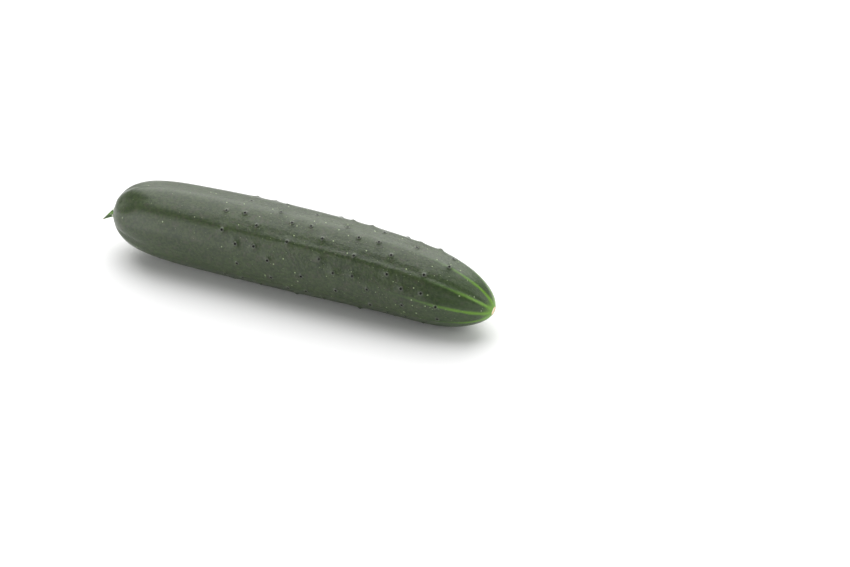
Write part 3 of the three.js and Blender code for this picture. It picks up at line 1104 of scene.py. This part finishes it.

# %% [markdown]
# The skin's gleam
# The skin has a thin natural wax. Its gleam is broad and soft, a little rougher in some places than in
# others. Fine bump gives the light something to catch: pores, faint lengthwise lines and the crown's pit.
# The broken spine's base in that pit is dry and has no gleam, which no colour can show. So a plain dark
# matte shader is mixed in there, which also paints the pit's shade.

# %% Fine bump and gleam
FINE_PORES = {"scale": 1500, "detail": 3, "roughness": 0.7, "height": 0.10 * MM}
COARSE_PORES = {"scale": 620, "detail": 2, "roughness": 0.6, "height": 0.23 * MM}
CALM_NECK = {"part": (0.4, 1), "shares": (0.1, 0.45)}  # coarse pores are lower by the stem
FINE_LINES = {"scale": 1, "detail": 3, "height": 0.05 * MM}
LINE_SHEET = {"length": 20, "width": 22}
RIM_HEIGHT = 0.26 * MM
PIT_DEPTH = 0.10 * MM
SPECK_HEIGHT = 0.02 * MM
SKIN_ROUGHNESS = 0.36
UNEVEN_GLEAM = {"scale": 130, "detail": 4, "height": 0.10}
CORK_DRYNESS = 0.4  # how much rougher the scar is
MATTE_SHADE_PART = (0.65, 0.95)  # how much of a pit is matte, on the smallest and the largest wart

calm_neck = between(CALM_NECK["part"], smooth(share, *CALM_NECK["shares"]))
pores = uneven(here, **FINE_PORES) + uneven(here, **COARSE_PORES) * calm_neck
lines = uneven(wound(share, circle, **LINE_SHEET), **FINE_LINES)
crown = crown_rim_and_highlight * RIM_HEIGHT - crown_pit_and_shade * PIT_DEPTH
bump = bump_of(pores + lines + crown + dots * SPECK_HEIGHT)
roughness = SKIN_ROUGHNESS + uneven(here, **UNEVEN_GLEAM) + scar * CORK_DRYNESS
dress(coat, skin_shader, Base_Color=colour, Roughness=roughness, Normal=bump,
      IOR=1.45, Coat_Weight=0.25, Coat_Roughness=0.28, Coat_IOR=1.4)

gleaming = Wire(coat, skin_shader.outputs["BSDF"])
# a dark matte shader in each pit: the dry spine base, and painted shade
spine_base_and_shade = coat.add("ShaderNodeBsdfDiffuse", None, Color=CROWN_DARK_AND_SHADE)["BSDF"]
dry_and_shaded = crown_pit_and_shade * between(MATTE_SHADE_PART, wart_size)
finished = coat.add("ShaderNodeMixShader", None, dry_and_shaded, gleaming, spine_base_and_shade)["Shader"]
coat.plug(finished, coat.tree.nodes["Material Output"].inputs["Surface"])
print("skin finish has", len(coat.tree.nodes), "nodes")

# %% [markdown]
# The stub's finish
# The stub is a fresher, yellower green than the skin, with painted light on its ribs and painted shade
# between them, and wet with sap, which a thin glossy coat shows; a few pale dots on it are painted
# highlights of the wet sap. Its cut face is pale in the middle, with darker green at the rim, and its thin
# tip has begun to dry to brown.

# %% Colour of the stub
STEM_GREEN = (0.110, 0.240, 0.022)
STEM_VALLEY_SHADE = (0.022, 0.062, 0.005)
CUT_GREEN = (0.165, 0.290, 0.060)
FIBRES = {"scale": 1, "detail": 4}
FIBRE_SHEET = {"length": 1.5, "width": 5}
FIBRE_PART = 0.8  # how much fibres count against ribs in the colour of the side
SIDE_SHADE_TO_LIGHT = (0.25, 1.05)  # the sums of the two where it is dark and where it is pale
FACE_EDGE = (1.02, 1.12)  # the UV map says 1 at the cut's edge and 2 in the middle of its face
PITH_EDGE = (1.04, 1.28)
PITH_RAGGED = {"scale": 900, "detail": 3, "height": 0.2}

stalk, stem_shader = start_material(stem_finish)
here = stalk.add("ShaderNodeTexCoord")["Object"]
along, turn, _ = split(stalk.add("ShaderNodeUVMap", {"uv_map": "stub_place"})["UV"])
circle = turn * FULL_TURN
fibres = noise(wound(along, circle, **FIBRE_SHEET), **FIBRES)
# painted light on the ribs and painted shade in the valleys between them; the fibres are the stem's own
# streaks
rib_light_mask = maths("ABSOLUTE", cosine(circle * (STEM_RIBS / 2)))
colour = mix(smooth(fibres * FIBRE_PART + rib_light_mask, *SIDE_SHADE_TO_LIGHT), STEM_VALLEY_SHADE, STEM_GREEN)
pith = smooth(along + uneven(here, **PITH_RAGGED), *PITH_EDGE)
on_face = smooth(along, *FACE_EDGE)
colour = mix(on_face, colour, mix(pith, STEM_GREEN, CUT_GREEN))
print("the stub is coloured")

# %% Dry tip, painted glints and gleam of the stub
DRY_BROWN = (0.330, 0.200, 0.030)
DRY_EDGE = (3 * MM, 0.8 * MM)  # from the tip, where the brown begins and is full
DRY_RAGGED = {"scale": 1200, "detail": 3, "height": 1.5 * MM}
BROWN_PART = 0.85
# pale dots painted as highlights of the wet sap
PAINTED_GLINT_WHITE = (0.86, 0.88, 0.76)
PAINTED_GLINT_DOTS = {"cell": 2.6 * MM, "radius": 0.6 * MM, "keep": 0.9}
FINE_GRAIN = {"scale": 2200, "detail": 3, "height": 0.08 * MM}
COARSE_GRAIN = {"scale": 800, "detail": 2, "height": 0.3 * MM}
FIBRE_HEIGHT = 0.1 * MM
STEM_ROUGHNESS = 0.5
FACE_WETNESS = 0.22  # how much smoother the cut face is

stub_tip = min((point.co for point in stem_stub.data.vertices), key=lambda place: place.x)
tip_distance = maths("DISTANCE", here, tuple(stub_tip))
dry = smooth(tip_distance + uneven(here, **DRY_RAGGED), *DRY_EDGE)
colour = mix(dry * BROWN_PART, colour, DRY_BROWN)
# painted highlights: pale dots standing in for glints on the wet sap
colour = mix(specks(here, **PAINTED_GLINT_DOTS), colour, PAINTED_GLINT_WHITE)
grain = uneven(here, **FINE_GRAIN) + uneven(here, **COARSE_GRAIN)
dress(stalk, stem_shader, Base_Color=colour, Roughness=STEM_ROUGHNESS - on_face * FACE_WETNESS,
      Normal=bump_of(grain + fibres * FIBRE_HEIGHT), Coat_Weight=0.6, Coat_Roughness=0.08)
print("stub finish has", len(stalk.tree.nodes), "nodes")

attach(stem_stub, "root")
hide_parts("stem_stub")

# %% [markdown] The end
# Looks mustn't change the object's size; the skin's and the stub's boxes are printed above, each beside its
# packed solid's box.
